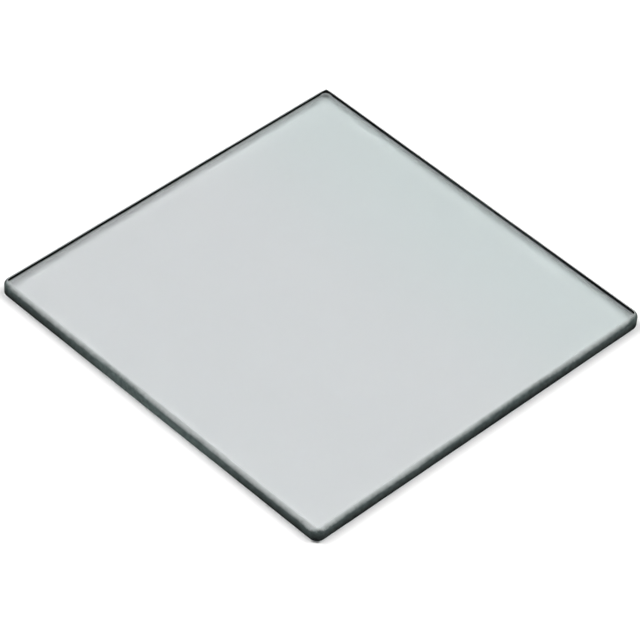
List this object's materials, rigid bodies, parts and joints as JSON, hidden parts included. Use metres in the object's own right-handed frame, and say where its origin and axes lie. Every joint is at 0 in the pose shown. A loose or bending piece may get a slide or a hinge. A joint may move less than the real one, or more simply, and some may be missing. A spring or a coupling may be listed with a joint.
{
  "type": "diffusion filter",
  "caption": "Flat square plate of pale grey glass with rounded corners and ground, bevelled edges, which softens the image in front of a camera lens.",
  "frame": {"origin": "middle of the back face, which the plate lies on", "axes": "+X along the width, +Y along the height, +Z through the thickness, from the back face to the front face"},
  "size_m": [0.1016, 0.1016, 0.004],
  "materials": {
    "filter_glass": "optically polished faces with a faint grey-green cast, fine-ground sides and bevels that look dark green-grey"
  },
  "bodies": {
    "root": {"filter_plate": "filter_glass"}
  },
  "joints": []
}
